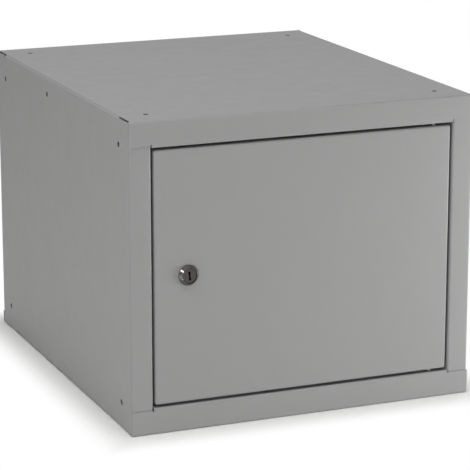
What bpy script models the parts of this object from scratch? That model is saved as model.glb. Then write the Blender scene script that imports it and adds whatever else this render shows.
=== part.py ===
"""Cube locker: a steel locker of folded sheet with one pivot-hung door and a cam lock.

Metres, +Z up. The origin is the centre of the underside, and the front with the door faces -Y.
Every sheet part is drawn as its outer faces, bent at its folds and then given its thickness.
"""

import math

import bmesh
import bpy
from mathutils import Vector

# Overall size
WIDTH = 0.410
DEPTH = 0.480
HEIGHT = 0.350

# Sheet, bends and joints
SHEET = 0.001
DOOR_SHEET = 0.001
BACK_SHEET = 0.0008
STIFFENER_SHEET = 0.0008
BEND_RADIUS = 0.0025
SEAM = 0.0003
RELIEF_WIDTH = 0.0012
RELIEF_MARGIN = 0.0005
CUT_OVERRUN = 0.002
MERGE_SHARE = 0.01

# Top and bottom trays
FRONT_FLANGE = 0.030
BACK_FLANGE = 0.015
TRAY_SIDE_INSET = 0.0025
RAIL_DEPTH = 0.020
RAIL_LEG = 0.008
RAIL_END_GAP = 0.0005
FLANGE_NOTCH = 0.0015

# Side panels
POST_WIDTH = 0.025
BACK_RETURN = 0.023
EDGE_RETURN = 0.020
EDGE_LEG = 0.022
EDGE_FRONT_SETBACK = 0.036
EDGE_BACK_SETBACK = 0.032
STOP_LIP = 0.008
HINGE_JAMB_LEG = 0.010

# Back panel
BACK_EDGE_GAP = 0.003
BACK_FOOT = 0.012

# Bolt holes for joining lockers
BOLT_HOLE_RADIUS = 0.00325
TRAY_HOLE_FROM_SIDE = 0.032
TRAY_HOLE_FROM_END = 0.035
SIDE_HOLE_FROM_FRONT = 0.0345
SIDE_HOLE_FROM_BACK = 0.034
SIDE_HOLE_FROM_EDGE = 0.030
HANGING_HOLE_FROM_FRONT = 0.281
HANGING_HOLE_FROM_TOP = 0.020

# Door
DOOR_DEPTH = 0.018
DOOR_LIP = 0.012
DOOR_LIP_INSET = 0.005
DOOR_CORNER_RADIUS = 0.0025
GAP_TOP = 0.0028
GAP_BOTTOM = 0.0028
GAP_LOCK_SIDE = 0.0028
GAP_HINGE_SIDE = 0.0028

# Door stiffener, a hat section
HAT_CROWN = 0.040
HAT_BRIM = 0.012
HAT_DEPTH = 0.010
HAT_END_GAP = 0.004
HAT_BEND_RADIUS = 0.002

# Hinge pins, bushes and pivot plates
HINGE_FROM_SIDE = 0.046
HINGE_FROM_DOOR_FACE = 0.0072
PIN_RADIUS = 0.002
PIN_HEAD_RADIUS = 0.004
PIN_HEAD_THICKNESS = 0.0015
PIN_TIP = 0.0025
PIN_TIP_CHAMFER = 0.0006
PIN_NECK_RADIUS = 0.0017
PIN_SHOULDER_RADIUS = 0.0025
BUSH_RADIUS = 0.0032
BUSH_FLANGE_RADIUS = 0.005
BUSH_FLANGE_THICKNESS = 0.0012
PIVOT_PLATE_THICKNESS = 0.002
PIVOT_PLATE_HALF_LENGTH = 0.013

# Rubber stop buffers
BUFFER_RADIUS = 0.003
BUFFER_THICKNESS = 0.002
BUFFER_DOME_SHARE = 0.25
BUFFER_STEM_RADIUS = 0.0012
BUFFER_BARB_RADIUS = 0.0018
BUFFER_BARB_LENGTH = 0.0016
BUFFER_FROM_OPENING_END = 0.060

# Cam lock
LOCK_FROM_SIDE = 0.0665
LOCK_HEIGHT = 0.1765
LOCK_HEAD_RADIUS = 0.0115
LOCK_HEAD_THICKNESS = 0.005
LOCK_HEAD_RIM = 0.0008
LOCK_HEAD_TOP_RADIUS = 0.0096
LOCK_HEAD_CHAMFER = 0.0003
LOCK_BARREL_RADIUS = 0.0095
LOCK_FLAT_FROM_AXIS = 0.008
LOCK_WASHER_RADIUS = 0.0125
LOCK_WASHER_THICKNESS = 0.0008
LOCK_NUT_ACROSS_FLATS = 0.024
LOCK_NUT_THICKNESS = 0.004
PLUG_RADIUS = 0.0065
PLUG_RIM_RADIUS = 0.0083
PLUG_RIM_THICKNESS = 0.0015
PLUG_RECESS = 0.0008
PLUG_FACE_CHAMFER = 0.0004
PLUG_TAIL_ACROSS_FLATS = 0.007
KEYWAY_WIDTH = 0.0018
KEYWAY_HEIGHT = 0.0098
KEYWAY_DEPTH = 0.009
CAM_THICKNESS = 0.002
CAM_LENGTH = 0.046
CAM_HUB_RADIUS = 0.009
CAM_TIP_RADIUS = 0.006
CAM_LIP_CLEARANCE = 0.0006
CAM_WASHER_RADIUS = 0.0052
CAM_WASHER_THICKNESS = 0.001
CAM_SCREW_RADIUS = 0.002
CAM_SCREW_LENGTH = 0.008
CAM_SCREW_HEAD_ACROSS_FLATS = 0.007
CAM_SCREW_HEAD_THICKNESS = 0.0028

# Facets
BEND_SEGMENTS = 4
HOLE_SEGMENTS = 24
TURNED_SEGMENTS = 32
CAM_END_SEGMENTS = 12

# Planes that several parts share
FRONT_PLANE = -DEPTH / 2
BACK_PLANE = DEPTH / 2
POST_PLANE = FRONT_PLANE + SHEET + SEAM
BACK_RETURN_PLANE = BACK_PLANE - SHEET - SEAM
OPENING_HALF_WIDTH = WIDTH / 2 - POST_WIDTH
OPENING_BOTTOM = FRONT_FLANGE
OPENING_TOP = HEIGHT - FRONT_FLANGE
PANEL_TOP = HEIGHT - SHEET - SEAM
PANEL_BOTTOM = SHEET + SEAM
BEND_INNER_RADIUS = BEND_RADIUS - SHEET
RELIEF_DEPTH = BEND_RADIUS + RELIEF_MARGIN

# The door in its opening
DOOR_LEFT = -OPENING_HALF_WIDTH + GAP_LOCK_SIDE
DOOR_RIGHT = OPENING_HALF_WIDTH - GAP_HINGE_SIDE
DOOR_BOTTOM = OPENING_BOTTOM + GAP_BOTTOM
DOOR_TOP = OPENING_TOP - GAP_TOP
DOOR_FRONT = POST_PLANE
DOOR_BACK = DOOR_FRONT + DOOR_DEPTH
SKIN_BACK = DOOR_FRONT + DOOR_SHEET
STOP_PLANE = DOOR_BACK + BUFFER_THICKNESS + 2 * SEAM
STOP_BACK = STOP_PLANE + SHEET

# Joint axes
HINGE_X = WIDTH / 2 - HINGE_FROM_SIDE
HINGE_Y = DOOR_FRONT + HINGE_FROM_DOOR_FACE
LOCK_X = -WIDTH / 2 + LOCK_FROM_SIDE
CAM_FRONT = STOP_BACK + CAM_LIP_CLEARANCE
CAM_BACK = CAM_FRONT + CAM_THICKNESS

PAINTED = ("painted_steel", (0.32, 0.32, 0.315, 1.0), 0.0, 0.45)
CHROME = ("chrome_plate", (0.62, 0.61, 0.58, 1.0), 1.0, 0.18)
ZINC = ("zinc_plate", (0.48, 0.49, 0.50, 1.0), 1.0, 0.35)
NYLON = ("nylon", (0.75, 0.75, 0.72, 1.0), 0.0, 0.5)
RUBBER = ("rubber", (0.03, 0.03, 0.03, 1.0), 0.0, 0.8)


def clear_scene():
    """Removes every object that the file opened with."""
    for obj in list(bpy.data.objects):
        bpy.data.objects.remove(obj, do_unlink=True)


def material(finish):
    """Returns the Principled material of a finish, made once."""
    name, colour, metallic, roughness = finish
    made = bpy.data.materials.get(name)
    if made:
        return made
    made = bpy.data.materials.new(name)
    made.use_nodes = True
    shader = made.node_tree.nodes["Principled BSDF"]
    shader.inputs["Base Color"].default_value = colour
    shader.inputs["Metallic"].default_value = metallic
    shader.inputs["Roughness"].default_value = roughness
    return made


def pivot(name, location):
    """Adds an empty on a joint's axis, which carries the pieces that turn about it."""
    empty = bpy.data.objects.new(name, None)
    empty.location = location
    bpy.context.collection.objects.link(empty)
    return empty


def add_object(name, bm, finish, parent=None, location=(0, 0, 0)):
    """Turns a bmesh into a named object placed in the part's frame."""
    mesh = bpy.data.meshes.new(name)
    bm.to_mesh(mesh)
    bm.free()
    mesh.shade_smooth()
    mesh.set_sharp_from_angle(angle=math.radians(35))
    mesh.materials.append(material(finish))
    obj = bpy.data.objects.new(name, mesh)
    bpy.context.collection.objects.link(obj)
    obj.location = Vector(location)
    if parent:
        obj.parent = parent
        obj.location -= parent.location
    return obj


def cut(obj, bm, operation="DIFFERENCE"):
    """Cuts an object with a bmesh given in the part's frame."""
    bmesh.ops.recalc_face_normals(bm, faces=bm.faces)
    mesh = bpy.data.meshes.new(obj.name + "_cutter")
    bm.to_mesh(mesh)
    bm.free()
    cutter = bpy.data.objects.new(mesh.name, mesh)
    cutter.hide_render = True
    cutter.display_type = "WIRE"
    bpy.context.collection.objects.link(cutter)
    modifier = obj.modifiers.new("Cut", "BOOLEAN")
    modifier.operation = operation
    modifier.object = cutter


def add_prism(bm, outline, extent):
    """Adds a closed prism: a flat outline of points swept by a vector."""
    face = bm.faces.new([bm.verts.new(point) for point in outline])
    swept = bmesh.ops.extrude_face_region(bm, geom=[face], use_keep_orig=True)
    moved = [item for item in swept["geom"] if isinstance(item, bmesh.types.BMVert)]
    bmesh.ops.translate(bm, verts=moved, vec=extent)


def ring_points(centre, axis, radius, count, phase_share=0.0):
    """Returns the points of a circle about an axis, the phase being a share of one step."""
    axis = Vector(axis).normalized()
    across = Vector((0, 0, 1)) if abs(axis.z) < math.cos(math.radians(45)) else Vector((1, 0, 0))
    up = axis.cross(across).normalized()
    across = up.cross(axis)
    turns = [2 * math.pi * (step + phase_share) / count for step in range(count)]
    return [Vector(centre) + radius * (math.cos(a) * across + math.sin(a) * up) for a in turns]


def add_drill(bm, centre, axis, radius, thickness):
    """Adds a round cutter through a wall, centred on the wall's middle."""
    axis = Vector(axis)
    reach = thickness / 2 + CUT_OVERRUN
    start = Vector(centre) - axis * reach
    add_prism(bm, ring_points(start, axis, radius, HOLE_SEGMENTS), axis * reach * 2)


def turned(name, outline, finish, parent=None, location=(0, 0, 0), axis="Z"):
    """Makes a turned piece from an outline of (radius, distance along the axis) points."""
    bm = bmesh.new()
    points = [bm.verts.new((radius, 0, along)) for radius, along in outline]
    edges = [bm.edges.new(pair) for pair in zip(points, points[1:])]
    if min(outline[0][0], outline[-1][0]) > 0:
        edges.append(bm.edges.new((points[-1], points[0])))
    bmesh.ops.spin(
        bm,
        geom=points + edges,
        cent=(0, 0, 0),
        axis=(0, 0, 1),
        angle=2 * math.pi,
        steps=TURNED_SEGMENTS,
        use_merge=True,
    )
    bmesh.ops.remove_doubles(bm, verts=bm.verts, dist=SEAM * MERGE_SHARE)
    bmesh.ops.recalc_face_normals(bm, faces=bm.faces)
    obj = add_object(name, bm, finish, parent, location)
    if axis == "Y":
        obj.rotation_euler.x = -math.pi / 2
    return obj


class FoldedSheet:
    """The outer faces of a folded sheet part, bent at its folds and thickened inwards."""

    def __init__(self):
        self.bm = bmesh.new()
        self.corners = {}
        self.folds = {}

    def corner(self, point):
        """Returns the vertex at a point, made once, so that faces join there."""
        key = tuple(round(value / (SEAM * MERGE_SHARE)) for value in point)
        if key not in self.corners:
            self.corners[key] = self.bm.verts.new(point)
        return self.corners[key]

    def panel(self, outline):
        """Adds one flat face of the sheet."""
        self.bm.faces.new([self.corner(point) for point in outline])

    def fold(self, start, end, radius):
        """Marks the edge between two faces as a bend."""
        edge = self.bm.edges.get((self.corner(start), self.corner(end)))
        self.folds.setdefault(radius, []).append(edge)

    def flap(self, start, end, reach, radius, mitre=0):
        """Adds a face beyond a fold and returns the ends of its far edge."""
        start, end, reach = Vector(start), Vector(end), Vector(reach)
        draw_in = (end - start).normalized() * mitre
        far_start, far_end = start + reach + draw_in, end + reach - draw_in
        self.panel([start, end, far_end, far_start])
        self.fold(start, end, radius)
        return far_start, far_end

    def finish(self, name, outside, thickness, finish, parent=None):
        """Bends the folds, gives the sheet its thickness away from the outside point, and names it."""
        bm = self.bm
        bmesh.ops.recalc_face_normals(bm, faces=bm.faces)
        widest = max(bm.faces, key=lambda face: face.calc_area())
        if widest.normal.dot(Vector(outside) - widest.calc_center_median()) < 0:
            bmesh.ops.reverse_faces(bm, faces=bm.faces)
        for radius, edges in self.folds.items():
            bmesh.ops.bevel(
                bm,
                geom=edges,
                offset=radius,
                offset_type="OFFSET",
                segments=BEND_SEGMENTS,
                profile=0.5,
                affect="EDGES",
                clamp_overlap=False,
                material=-1,
            )
        obj = add_object(name, bm, finish, parent)
        wall = obj.modifiers.new("Sheet", "SOLIDIFY")
        wall.thickness = thickness
        wall.offset = -1
        wall.use_even_offset = True
        return obj


def tabbed(start, end, near, far, inward):
    """Returns the points of a face's edge from start to end with a relief notch at each end of a fold.

    The fold runs from near to far, and inward points into the face.
    """
    start, end, near, far = Vector(start), Vector(end), Vector(near), Vector(far)
    along = (far - near).normalized() * RELIEF_WIDTH
    down = Vector(inward) * RELIEF_DEPTH
    return [
        start,
        near - along,
        near - along + down,
        near + down,
        near,
        far,
        far + down,
        far + along + down,
        far + along,
        end,
    ]


def tray(name, base, up):
    """Makes a tray: its sheet at the height base, its flanges reaching towards up (+1 or -1)."""

    def at(x, y, rise):
        return Vector((x, y, base + up * rise))

    half = WIDTH / 2
    inner = half - TRAY_SIDE_INSET
    rail = OPENING_HALF_WIDTH - RAIL_END_GAP
    notch = RELIEF_DEPTH
    sheet = FoldedSheet()
    sheet.panel([
        at(-half, FRONT_PLANE, 0),
        at(half, FRONT_PLANE, 0),
        at(half, FRONT_PLANE + notch, 0),
        at(inner, FRONT_PLANE + notch, 0),
        at(inner, BACK_PLANE - notch, 0),
        at(half, BACK_PLANE - notch, 0),
        at(half, BACK_PLANE, 0),
        at(-half, BACK_PLANE, 0),
        at(-half, BACK_PLANE - notch, 0),
        at(-inner, BACK_PLANE - notch, 0),
        at(-inner, FRONT_PLANE + notch, 0),
        at(-half, FRONT_PLANE + notch, 0),
    ])
    front_start, front_end = at(-half, FRONT_PLANE, 0), at(half, FRONT_PLANE, 0)
    rail_start = at(-rail, FRONT_PLANE, FRONT_FLANGE)
    rail_end = at(rail, FRONT_PLANE, FRONT_FLANGE)
    post_edge = FRONT_FLANGE - BEND_RADIUS
    notch_floor = post_edge - FLANGE_NOTCH
    beyond = rail + RELIEF_WIDTH
    free_edge = [
        at(-half, FRONT_PLANE, post_edge),
        at(-beyond, FRONT_PLANE, post_edge),
        at(-beyond, FRONT_PLANE, notch_floor),
        at(-rail, FRONT_PLANE, notch_floor),
        rail_start,
        rail_end,
        at(rail, FRONT_PLANE, notch_floor),
        at(beyond, FRONT_PLANE, notch_floor),
        at(beyond, FRONT_PLANE, post_edge),
        at(half, FRONT_PLANE, post_edge),
    ]
    sheet.panel([front_end, front_start] + free_edge)
    sheet.fold(front_start, front_end, BEND_RADIUS)
    leg_start, leg_end = sheet.flap(rail_start, rail_end, (0, RAIL_DEPTH, 0), BEND_RADIUS)
    sheet.flap(leg_start, leg_end, (0, 0, -up * RAIL_LEG), BEND_RADIUS)
    back_start, back_end = at(-half, BACK_PLANE, 0), at(half, BACK_PLANE, 0)
    sheet.flap(back_start, back_end, (0, 0, up * BACK_FLANGE), BEND_RADIUS)
    obj = sheet.finish(name, at(0, 0, -HEIGHT), SHEET, PAINTED)

    holes = bmesh.new()
    for side in (-1, 1):
        for end in (-1, 1):
            x = side * (half - TRAY_HOLE_FROM_SIDE)
            y = end * (DEPTH / 2 - TRAY_HOLE_FROM_END)
            add_drill(holes, at(x, y, SHEET / 2), (0, 0, 1), BOLT_HOLE_RADIUS, SHEET)
    pin_hole = (PIN_RADIUS if up < 0 else PIN_NECK_RADIUS) + SEAM
    add_drill(holes, at(HINGE_X, HINGE_Y, FRONT_FLANGE - SHEET / 2), (0, 0, 1), pin_hole, SHEET)
    cut(obj, holes)
    return obj


def side_plate_outline(at):
    """Returns the outline of a side panel's plate, with its reliefs, and its two edge folds."""
    post_top = HEIGHT - RELIEF_DEPTH
    post_bottom = RELIEF_DEPTH
    front = POST_PLANE + RELIEF_DEPTH
    back = BACK_RETURN_PLANE - RELIEF_DEPTH
    fold_front = FRONT_PLANE + EDGE_FRONT_SETBACK
    fold_back = BACK_PLANE - EDGE_BACK_SETBACK
    top = tabbed(
        at(0, front, PANEL_TOP),
        at(0, back, PANEL_TOP),
        at(0, fold_front, PANEL_TOP),
        at(0, fold_back, PANEL_TOP),
        (0, 0, -1),
    )
    bottom = tabbed(
        at(0, back, PANEL_BOTTOM),
        at(0, front, PANEL_BOTTOM),
        at(0, fold_back, PANEL_BOTTOM),
        at(0, fold_front, PANEL_BOTTOM),
        (0, 0, 1),
    )
    outline = (
        [at(0, POST_PLANE, post_bottom), at(0, POST_PLANE, post_top), at(0, front, post_top)]
        + top
        + [at(0, back, post_top), at(0, BACK_RETURN_PLANE, post_top)]
        + [at(0, BACK_RETURN_PLANE, post_bottom), at(0, back, post_bottom)]
        + bottom
        + [at(0, front, post_bottom)]
    )
    return outline, (fold_front, fold_back), (post_bottom, post_top)


def side_panel(name, side):
    """Makes a side panel: -1 is the lock side, whose jamb ends in the stop lip, and 1 the hinge side."""

    def at(inset, y, z):
        return Vector((side * (WIDTH / 2 - inset), y, z))

    outline, (fold_front, fold_back), (post_bottom, post_top) = side_plate_outline(at)
    inward = Vector((-side, 0, 0))
    sheet = FoldedSheet()
    sheet.panel(outline)

    foot, head = at(0, POST_PLANE, post_bottom), at(0, POST_PLANE, post_top)
    foot, head = sheet.flap(foot, head, inward * POST_WIDTH, BEND_RADIUS)
    jamb_depth = STOP_PLANE - POST_PLANE if side < 0 else STOP_BACK - POST_PLANE
    foot, head = sheet.flap(foot, head, (0, jamb_depth, 0), BEND_RADIUS)
    if side < 0:
        sheet.flap(foot, head, inward * STOP_LIP, BEND_INNER_RADIUS)
    else:
        sheet.flap(foot, head, -inward * HINGE_JAMB_LEG, BEND_RADIUS)

    foot, head = at(0, BACK_RETURN_PLANE, post_bottom), at(0, BACK_RETURN_PLANE, post_top)
    sheet.flap(foot, head, inward * BACK_RETURN, BEND_RADIUS)
    for height, turn in ((PANEL_TOP, -1), (PANEL_BOTTOM, 1)):
        start, end = at(0, fold_front, height), at(0, fold_back, height)
        start, end = sheet.flap(start, end, inward * EDGE_RETURN, BEND_RADIUS)
        sheet.flap(start, end, (0, 0, turn * EDGE_LEG), BEND_RADIUS)
    obj = sheet.finish(name, at(-WIDTH, 0, HEIGHT / 2), SHEET, PAINTED)

    holes = bmesh.new()
    for y in (FRONT_PLANE + SIDE_HOLE_FROM_FRONT, BACK_PLANE - SIDE_HOLE_FROM_BACK):
        for z in (SIDE_HOLE_FROM_EDGE, HEIGHT - SIDE_HOLE_FROM_EDGE):
            add_drill(holes, at(SHEET / 2, y, z), (1, 0, 0), BOLT_HOLE_RADIUS, SHEET)
    hanging = at(SHEET / 2, FRONT_PLANE + HANGING_HOLE_FROM_FRONT, HEIGHT - HANGING_HOLE_FROM_TOP)
    add_drill(holes, hanging, (1, 0, 0), BOLT_HOLE_RADIUS, SHEET)
    if side < 0:
        for z in buffer_heights():
            centre = (buffer_x(), STOP_PLANE + SHEET / 2, z)
            add_drill(holes, centre, (0, 1, 0), BUFFER_STEM_RADIUS + SEAM, SHEET)
    cut(obj, holes)
    return obj


def back_panel():
    """Makes the back sheet, which lies against the side panels' back returns and has two feet forwards."""
    half = WIDTH / 2 - SHEET - BACK_EDGE_GAP
    plane = BACK_RETURN_PLANE - SHEET - SEAM
    sheet = FoldedSheet()
    low_left, low_right = Vector((-half, plane, PANEL_BOTTOM)), Vector((half, plane, PANEL_BOTTOM))
    top_left, top_right = Vector((-half, plane, PANEL_TOP)), Vector((half, plane, PANEL_TOP))
    sheet.panel([low_left, low_right, top_right, top_left])
    forwards = (0, -BACK_FOOT, 0)
    sheet.flap(low_left, low_right, forwards, BEND_RADIUS)
    sheet.flap(top_left, top_right, forwards, BEND_RADIUS)
    return sheet.finish("back_panel", (0, DEPTH, HEIGHT / 2), BACK_SHEET, PAINTED)


def lock_hole_outline(radius, flat, y):
    """Returns the outline of a round hole with two upright flats, in the plane y."""
    limit = math.acos(flat / radius)
    half_steps = HOLE_SEGMENTS // 2
    angles = [limit + (math.pi - 2 * limit) * step / half_steps for step in range(half_steps + 1)]
    upper = [(radius * math.cos(a), radius * math.sin(a)) for a in angles]
    lower = [(-x, -z) for x, z in upper]
    return [Vector((LOCK_X + x, y, LOCK_HEIGHT + z)) for x, z in upper + lower]


def door_flange_outline(front_start, front_end):
    """Returns a door flange's outline from its front edge back, notched for its lip, and the lip's fold."""
    back = Vector((0, DOOR_DEPTH, 0))
    along = (front_end - front_start).normalized() * DOOR_LIP_INSET
    start, end = front_start + back, front_end + back
    free_edge = tabbed(start, end, start + along, end - along, (0, -1, 0))
    return [front_end, front_start] + free_edge, (start + along, end - along)


def door_pan(parent):
    """Makes the door's sheet: a pan with rounded corners, four flanges and four lips."""
    corners = [
        Vector((DOOR_LEFT, DOOR_FRONT, DOOR_BOTTOM)),
        Vector((DOOR_RIGHT, DOOR_FRONT, DOOR_BOTTOM)),
        Vector((DOOR_RIGHT, DOOR_FRONT, DOOR_TOP)),
        Vector((DOOR_LEFT, DOOR_FRONT, DOOR_TOP)),
    ]
    middle = sum(corners, Vector()) / len(corners)
    sheet = FoldedSheet()
    sheet.panel(corners)
    back = Vector((0, DOOR_DEPTH, 0))
    for start, end in zip(corners, corners[1:] + corners[:1]):
        outline, lip_fold = door_flange_outline(start, end)
        sheet.panel(outline)
        sheet.fold(start, end, BEND_RADIUS)
        sheet.fold(start, start + back, DOOR_CORNER_RADIUS)
        away = (start + end) / 2 - middle
        sheet.flap(*lip_fold, -away.normalized() * DOOR_LIP, BEND_RADIUS, mitre=DOOR_LIP)
    obj = sheet.finish("door_pan", (0, -DEPTH, HEIGHT / 2), DOOR_SHEET, PAINTED, parent)

    holes = bmesh.new()
    for z in (DOOR_TOP - DOOR_SHEET / 2, DOOR_BOTTOM + DOOR_SHEET / 2):
        add_drill(holes, (HINGE_X, HINGE_Y, z), (0, 0, 1), BUSH_RADIUS + SEAM, DOOR_SHEET)
    start = DOOR_FRONT - CUT_OVERRUN
    hole = lock_hole_outline(LOCK_BARREL_RADIUS + SEAM, LOCK_FLAT_FROM_AXIS + SEAM, start)
    add_prism(holes, hole, (0, DOOR_SHEET + 2 * CUT_OVERRUN, 0))
    cut(obj, holes)
    return obj


def door_stiffener(parent):
    """Makes the upright hat section behind the middle of the door's skin."""
    middle = (DOOR_LEFT + DOOR_RIGHT) / 2
    low = DOOR_BOTTOM + DOOR_LIP + HAT_END_GAP
    high = DOOR_TOP - DOOR_LIP - HAT_END_GAP
    brim_y = SKIN_BACK + SEAM + STIFFENER_SHEET
    crown_y = SKIN_BACK + SEAM + HAT_DEPTH
    sheet = FoldedSheet()
    crown = [(middle + side * HAT_CROWN / 2, crown_y) for side in (-1, 1)]
    sheet.panel([(x, y, z) for z in (low, high) for x, y in (crown if z == low else crown[::-1])])
    for side, (x, y) in zip((-1, 1), crown):
        start, end = Vector((x, y, low)), Vector((x, y, high))
        start, end = sheet.flap(start, end, (0, brim_y - crown_y, 0), HAT_BEND_RADIUS)
        sheet.flap(start, end, (side * HAT_BRIM, 0, 0), HAT_BEND_RADIUS - STIFFENER_SHEET)
    return sheet.finish("door_stiffener", (0, DEPTH, HEIGHT / 2), STIFFENER_SHEET, PAINTED, parent)


def pivot_plate(name, parent, flange, inwards):
    """Makes the plate that backs a door flange at the pin; inwards is the way into the pan."""
    inner = BEND_INNER_RADIUS + SEAM
    front, back = SKIN_BACK + inner, DOOR_BACK - DOOR_SHEET - inner
    near = flange + inwards * (DOOR_SHEET + SEAM)
    left, right = HINGE_X - PIVOT_PLATE_HALF_LENGTH, HINGE_X + PIVOT_PLATE_HALF_LENGTH
    bm = bmesh.new()
    outline = [Vector((x, y, near)) for x, y in ((left, front), (right, front), (right, back), (left, back))]
    add_prism(bm, outline, (0, 0, inwards * PIVOT_PLATE_THICKNESS))
    bmesh.ops.recalc_face_normals(bm, faces=bm.faces)
    obj = add_object(name, bm, ZINC, parent)
    hole = bmesh.new()
    middle = near + inwards * PIVOT_PLATE_THICKNESS / 2
    add_drill(hole, (HINGE_X, HINGE_Y, middle), (0, 0, 1), BUSH_RADIUS + SEAM, PIVOT_PLATE_THICKNESS)
    cut(obj, hole)
    return obj


def bush_reach():
    """Returns how far a bush's spigot reaches from the door's edge to its own flange."""
    return DOOR_SHEET + PIVOT_PLATE_THICKNESS + 2 * SEAM


def hinge_bush(name, parent, flange, inwards):
    """Makes the nylon bush in a door flange: its spigot fills the hole, its flange lies inside the pan."""
    bore = PIN_RADIUS + SEAM
    reach = bush_reach()
    outline = [
        (bore, 0),
        (BUSH_RADIUS, 0),
        (BUSH_RADIUS, reach),
        (BUSH_FLANGE_RADIUS, reach),
        (BUSH_FLANGE_RADIUS, reach + BUSH_FLANGE_THICKNESS),
        (bore, reach + BUSH_FLANGE_THICKNESS),
    ]
    outline = [(radius, inwards * along) for radius, along in outline]
    return turned(name, outline, NYLON, parent, (HINGE_X, HINGE_Y, flange))


def pin_journal_end():
    """Returns how far past a door flange's face a pin's tip reaches into the pan."""
    return bush_reach() + BUSH_FLANGE_THICKNESS + PIN_TIP


def upper_hinge_pin():
    """Makes the headed pin that drops through the top tray's rail into the upper bush."""
    seat = OPENING_TOP + SHEET + SEAM
    tip = DOOR_TOP - pin_journal_end()
    outline = [
        (0, tip),
        (PIN_RADIUS - PIN_TIP_CHAMFER, tip),
        (PIN_RADIUS, tip + PIN_TIP_CHAMFER),
        (PIN_RADIUS, seat),
        (PIN_HEAD_RADIUS, seat),
        (PIN_HEAD_RADIUS, seat + PIN_HEAD_THICKNESS),
        (0, seat + PIN_HEAD_THICKNESS),
    ]
    return turned("upper_hinge_pin", outline, ZINC, location=(HINGE_X, HINGE_Y, 0))


def lower_hinge_pin():
    """Makes the riveted pin on the bottom tray's rail, whose shoulder carries the door."""
    seat = OPENING_BOTTOM - SHEET - SEAM
    shoulder = OPENING_BOTTOM + SEAM
    tip = DOOR_BOTTOM + pin_journal_end()
    outline = [
        (0, seat - PIN_HEAD_THICKNESS),
        (PIN_HEAD_RADIUS, seat - PIN_HEAD_THICKNESS),
        (PIN_HEAD_RADIUS, seat),
        (PIN_NECK_RADIUS, seat),
        (PIN_NECK_RADIUS, shoulder),
        (PIN_SHOULDER_RADIUS, shoulder),
        (PIN_SHOULDER_RADIUS, DOOR_BOTTOM - SEAM),
        (PIN_RADIUS, DOOR_BOTTOM - SEAM),
        (PIN_RADIUS, tip - PIN_TIP_CHAMFER),
        (PIN_RADIUS - PIN_TIP_CHAMFER, tip),
        (0, tip),
    ]
    return turned("lower_hinge_pin", outline, ZINC, location=(HINGE_X, HINGE_Y, 0))


def buffer_x():
    """Returns the middle of the stop lip's flat, where the buffers sit."""
    return -OPENING_HALF_WIDTH + (STOP_LIP + BEND_INNER_RADIUS) / 2


def buffer_heights():
    """Returns the heights of the two stop buffers."""
    return OPENING_BOTTOM + BUFFER_FROM_OPENING_END, OPENING_TOP - BUFFER_FROM_OPENING_END


def stop_buffer(name, z):
    """Makes a rubber buffer pushed into the stop lip: a domed pad, a stem and a barb behind the lip."""
    behind = SHEET + SEAM
    dome = BUFFER_THICKNESS * BUFFER_DOME_SHARE
    outline = [
        (0, -SEAM - BUFFER_THICKNESS),
        (BUFFER_RADIUS / 2, -SEAM - BUFFER_THICKNESS),
        (BUFFER_RADIUS, -SEAM - BUFFER_THICKNESS + dome),
        (BUFFER_RADIUS, -SEAM),
        (BUFFER_STEM_RADIUS, -SEAM),
        (BUFFER_STEM_RADIUS, behind),
        (BUFFER_BARB_RADIUS, behind),
        (BUFFER_STEM_RADIUS, behind + BUFFER_BARB_LENGTH),
        (0, behind + BUFFER_BARB_LENGTH),
    ]
    return turned(name, outline, RUBBER, location=(buffer_x(), STOP_PLANE, z), axis="Y")


def lock_body(parent):
    """Makes the lock's housing: a coned head on a thin rim, a barrel with two flats and a stepped bore."""
    face = -SEAM - LOCK_HEAD_THICKNESS
    end = CAM_FRONT - SEAM - DOOR_FRONT
    bore = PLUG_RADIUS + SEAM
    counterbore = PLUG_RIM_RADIUS + SEAM
    step = face + PLUG_RECESS + PLUG_RIM_THICKNESS + SEAM
    outline = [
        (counterbore, face),
        (LOCK_HEAD_TOP_RADIUS - LOCK_HEAD_CHAMFER, face),
        (LOCK_HEAD_TOP_RADIUS, face + LOCK_HEAD_CHAMFER),
        (LOCK_HEAD_RADIUS, -SEAM - LOCK_HEAD_RIM),
        (LOCK_HEAD_RADIUS, -SEAM),
        (LOCK_BARREL_RADIUS, -SEAM),
        (LOCK_BARREL_RADIUS, end),
        (bore, end),
        (bore, step),
        (counterbore, step),
    ]
    obj = turned("lock_body", outline, CHROME, parent, (LOCK_X, DOOR_FRONT, LOCK_HEIGHT), "Y")
    flats = bmesh.new()
    reach = LOCK_BARREL_RADIUS + CUT_OVERRUN
    for side in (-1, 1):
        near, far = LOCK_X + side * LOCK_FLAT_FROM_AXIS, LOCK_X + side * reach
        low, high = LOCK_HEIGHT - reach, LOCK_HEIGHT + reach
        start = DOOR_FRONT - SEAM
        outline = [Vector((x, start, z)) for x, z in ((near, low), (far, low), (far, high), (near, high))]
        add_prism(flats, outline, (0, end + SEAM + CUT_OVERRUN, 0))
    cut(obj, flats)
    return obj


def lock_washer(parent):
    """Makes the washer between the door's skin and the lock's nut."""
    start = DOOR_SHEET + SEAM
    bore = LOCK_BARREL_RADIUS + SEAM
    outline = [
        (bore, start),
        (LOCK_WASHER_RADIUS, start),
        (LOCK_WASHER_RADIUS, start + LOCK_WASHER_THICKNESS),
        (bore, start + LOCK_WASHER_THICKNESS),
    ]
    return turned("lock_washer", outline, ZINC, parent, (LOCK_X, DOOR_FRONT, LOCK_HEIGHT), "Y")


def hexagon(centre, across_flats):
    """Returns a hexagon's corners about the Y axis, with two flats upright."""
    return ring_points(centre, (0, 1, 0), across_flats / 2 / math.cos(math.pi / 6), 6)


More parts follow.
